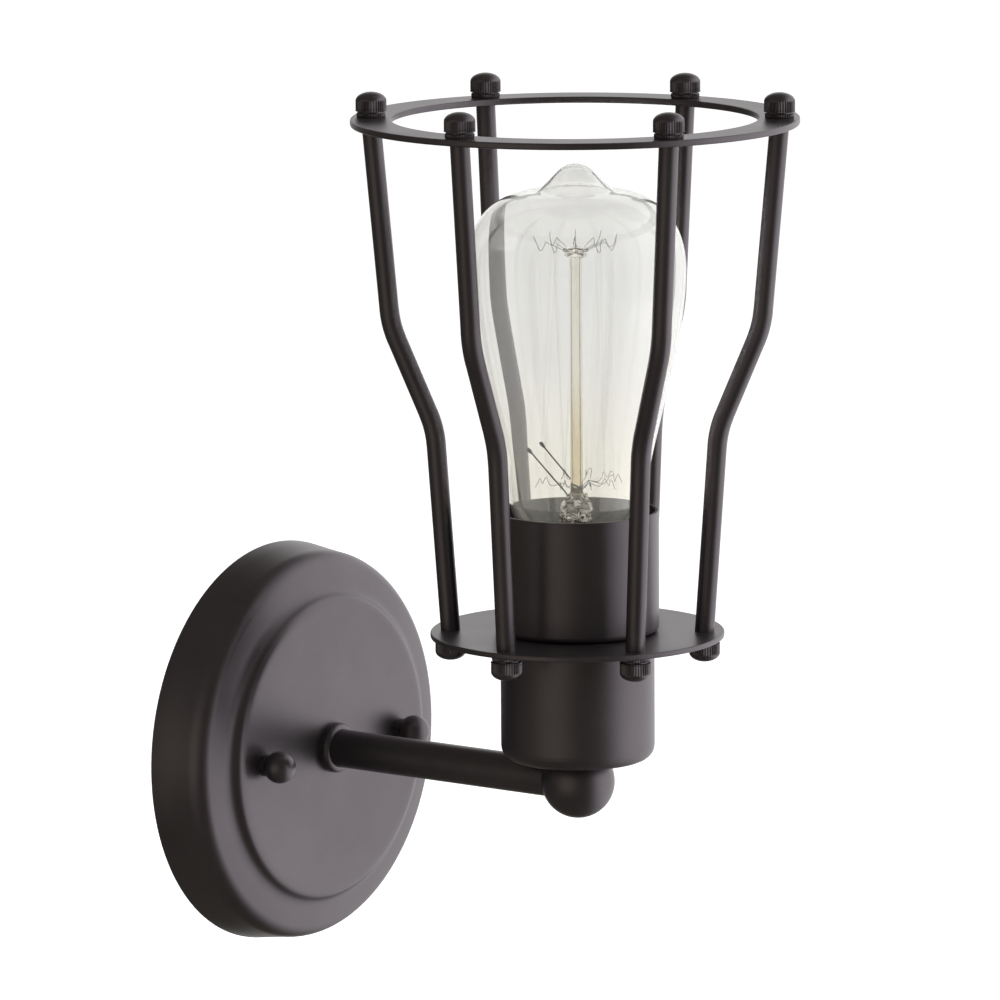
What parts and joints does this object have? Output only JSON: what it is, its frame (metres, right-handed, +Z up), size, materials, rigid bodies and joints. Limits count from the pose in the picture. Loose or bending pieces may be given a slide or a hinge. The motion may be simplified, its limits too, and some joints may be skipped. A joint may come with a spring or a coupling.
{
  "type": "wall sconce",
  "caption": "Wall light with a round plate, straight arm and elbow ball, an upright socket cup and sleeve, and an open cage of bent rods round a filament bulb.",
  "frame": {"origin": "centre of the wall plate's rear plane, on the wall", "axes": "+Z up, +Y into the wall, +X to the right seen from the room; the arm runs along -Y"},
  "size_m": [0.1302, 0.187, 0.2635],
  "materials": {
    "dark_bronze": "satin dark bronze powder coat with a faint purple-brown cast",
    "zinc_steel": "zinc plated",
    "green_screw": "green dyed zinc",
    "brass": "plain pressed brass",
    "black_phenolic": "moulded phenolic",
    "ivory_plastic": "moulded",
    "black_insulation": "matt",
    "white_insulation": "matt",
    "clear_glass": "clear blown glass",
    "stem_glass": "pale cream glass",
    "black_glass": "black vitreous insulator",
    "solder": "dull solder",
    "filament_wire": "dark drawn wire"
  },
  "bodies": {
    "fixture": {"wall_bracket": "zinc_steel", "box_screws": "zinc_steel", "mounting_studs": "zinc_steel", "stud_nuts": "zinc_steel", "ground_screw": "green_screw", "backplate": "dark_bronze", "arm_nipple": "zinc_steel", "arm_washer": "zinc_steel", "arm_nut": "brass", "arm_collar": "dark_bronze", "arm_tube": "dark_bronze", "elbow_ball": "dark_bronze", "cup_nipple": "zinc_steel", "socket_cup": "dark_bronze", "cup_nut": "brass", "cage_base_disc": "dark_bronze", "socket_sleeve": "dark_bronze", "clamp_ring": "ivory_plastic", "cage_rod_1": "dark_bronze", "cage_rod_2": "dark_bronze", "cage_rod_3": "dark_bronze", "cage_rod_4": "dark_bronze", "cage_rod_5": "dark_bronze", "cage_rod_6": "dark_bronze", "cage_top_ring": "dark_bronze", "top_cap_nuts": "dark_bronze", "bottom_cap_nuts": "dark_bronze", "socket_cap": "black_phenolic", "socket_barrel": "black_phenolic", "screw_shell": "brass", "centre_contact": "brass", "terminal_screws": "brass", "hot_wire": "black_insulation", "neutral_wire": "white_insulation"},
    "left_nut": {"ball_nut_left": "dark_bronze"},
    "right_nut": {"ball_nut_right": "dark_bronze"},
    "bulb": {"bulb_glass": "clear_glass", "bulb_cap": "brass", "bulb_insulator": "black_glass", "bulb_tip": "solder", "bulb_stem": "stem_glass", "filament_hooks": "filament_wire", "filament": "filament_wire", "filament_leads": "filament_wire"}
  },
  "joints": [
    {"name": "bulb_lift", "type": "slide", "parent": "fixture", "child": "bulb", "axis": [0, 0, 1], "range_m": [0, 0.2]},
    {"name": "left_nut_turn", "type": "hinge", "parent": "fixture", "child": "left_nut", "pos_m": [-0.03334, -0.0272, 0], "axis": [0, -1, 0], "continuous": true},
    {"name": "right_nut_turn", "type": "hinge", "parent": "fixture", "child": "right_nut", "pos_m": [0.03334, -0.0272, 0], "axis": [0, -1, 0], "continuous": true}
  ]
}
